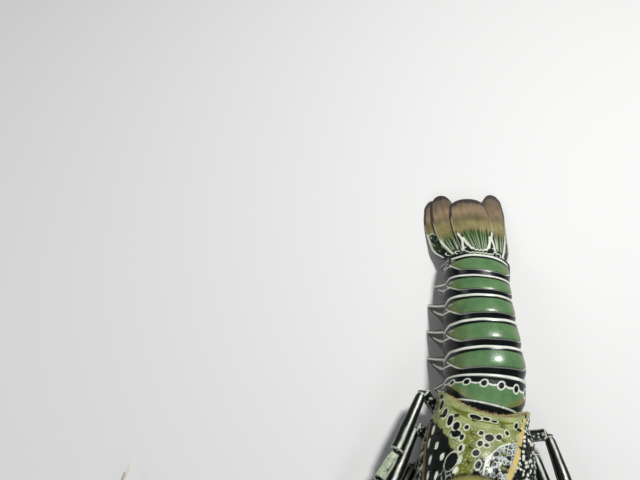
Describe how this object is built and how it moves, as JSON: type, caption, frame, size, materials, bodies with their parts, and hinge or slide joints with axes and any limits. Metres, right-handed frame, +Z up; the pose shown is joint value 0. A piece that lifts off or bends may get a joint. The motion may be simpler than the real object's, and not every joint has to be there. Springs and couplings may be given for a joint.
{
  "type": "spiny lobster",
  "caption": "Life-size spiny lobster at rest on its belly, with a green banded tail and fan, a dark spiny carapace, legs swept forward and long antennae curving out and back.",
  "frame": {"origin": "on the floor under the middle of the whole animal's bounding box", "axes": "+Z up, +Y towards the tail fan, with the head towards -Y and the animal's left side towards +X"},
  "size_m": [0.4434, 0.498, 0.0615],
  "materials": {
    "carapace_shell": "wet, dark green-black shell with pale spots and lines",
    "tail_shell": "wet, green shell with white and black cross bands",
    "tail_fan": "olive-brown soft plates with cream lines and a dark rim",
    "leg_shell": "black shell with cream stripes along it",
    "antenna_shell": "salmon-pink shell with black spots and pale spines",
    "feeler": "cream whip with a pink base",
    "eye": "shiny black",
    "underside": "pale tan shell and soft leaves"
  },
  "bodies": {
    "root": {"carapace": "carapace_shell", "sternum": "underside", "antennular_plate": "antenna_shell", "horn_left": "carapace_shell", "eye_left": "eye", "antenna_left_base": "antenna_shell", "antenna_left_middle": "antenna_shell", "antenna_left_end": "antenna_shell", "antenna_left_whip": "feeler", "antenna_left_whip_tip": "feeler", "antennule_left": "feeler", "mouth_leg_left": "leg_shell", "leg_left_1_upper": "leg_shell", "leg_left_1_lower": "leg_shell", "leg_left_2_upper": "leg_shell", "leg_left_2_lower": "leg_shell", "leg_left_3_upper": "leg_shell", "leg_left_3_lower": "leg_shell", "leg_left_4_upper": "leg_shell", "leg_left_4_lower": "leg_shell", "leg_left_5_upper": "leg_shell", "leg_left_5_lower": "leg_shell", "horn_right": "carapace_shell", "eye_right": "eye", "antenna_right_base": "antenna_shell", "antenna_right_middle": "antenna_shell", "antenna_right_end": "antenna_shell", "antenna_right_whip": "feeler", "antenna_right_whip_tip": "feeler", "antennule_right": "feeler", "mouth_leg_right": "leg_shell", "leg_right_1_upper": "leg_shell", "leg_right_1_lower": "leg_shell", "leg_right_2_upper": "leg_shell", "leg_right_2_lower": "leg_shell", "leg_right_3_upper": "leg_shell", "leg_right_3_lower": "leg_shell", "leg_right_4_upper": "leg_shell", "leg_right_4_lower": "leg_shell", "leg_right_5_upper": "leg_shell", "leg_right_5_lower": "leg_shell", "tail_ring_1": "tail_shell", "tail_ring_2": "tail_shell", "tail_ring_3": "tail_shell", "tail_ring_4": "tail_shell", "tail_ring_5": "tail_shell", "tail_ring_6": "tail_shell", "telson": "tail_fan", "swimmeret_left_2": "underside", "swimmeret_left_3": "underside", "swimmeret_left_4": "underside", "swimmeret_left_5": "underside", "fan_inner_left": "tail_fan", "fan_outer_left": "tail_fan", "swimmeret_right_2": "underside", "swimmeret_right_3": "underside", "swimmeret_right_4": "underside", "swimmeret_right_5": "underside", "fan_inner_right": "tail_fan", "fan_outer_right": "tail_fan"}
  },
  "joints": []
}
